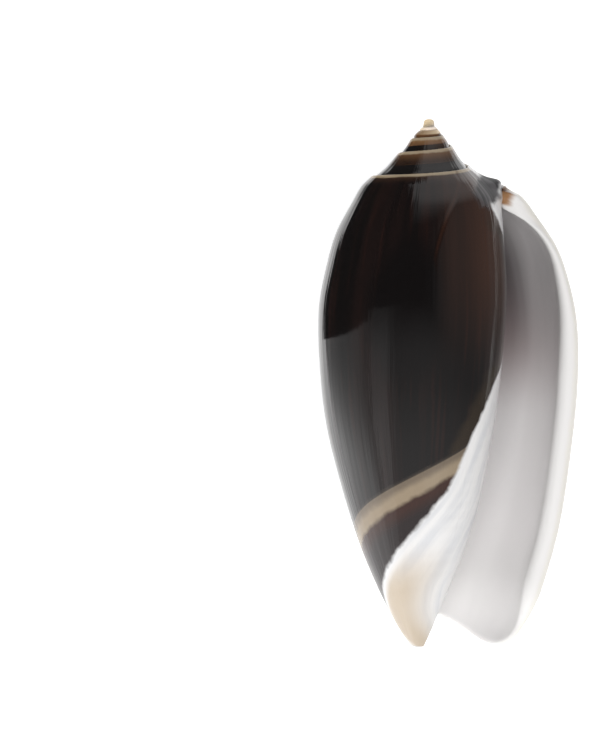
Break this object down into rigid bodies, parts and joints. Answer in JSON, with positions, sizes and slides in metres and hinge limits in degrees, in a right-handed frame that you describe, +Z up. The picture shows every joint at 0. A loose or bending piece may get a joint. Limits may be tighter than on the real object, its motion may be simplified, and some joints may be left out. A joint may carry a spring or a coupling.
{
  "type": "olive shell",
  "caption": "Glossy dark olive shell with a short pointed spire, a long open aperture and a white columella callus, lying on its back.",
  "frame": {"origin": "middle of the bounding box in X and Y, on the surface that the shell lies on", "axes": "+Z up, +Y along the shell towards its apex, +X towards the side of the outer lip"},
  "size_m": [0.0248, 0.053, 0.0211],
  "materials": {
    "enamelled_shell": "Natural enamel as glossy as glazed ceramic: near-black brown outside, tan rims and a tan band, white callus and lip, mauve-grey inside."
  },
  "bodies": {
    "root": {"shell": "enamelled_shell"}
  },
  "joints": []
}
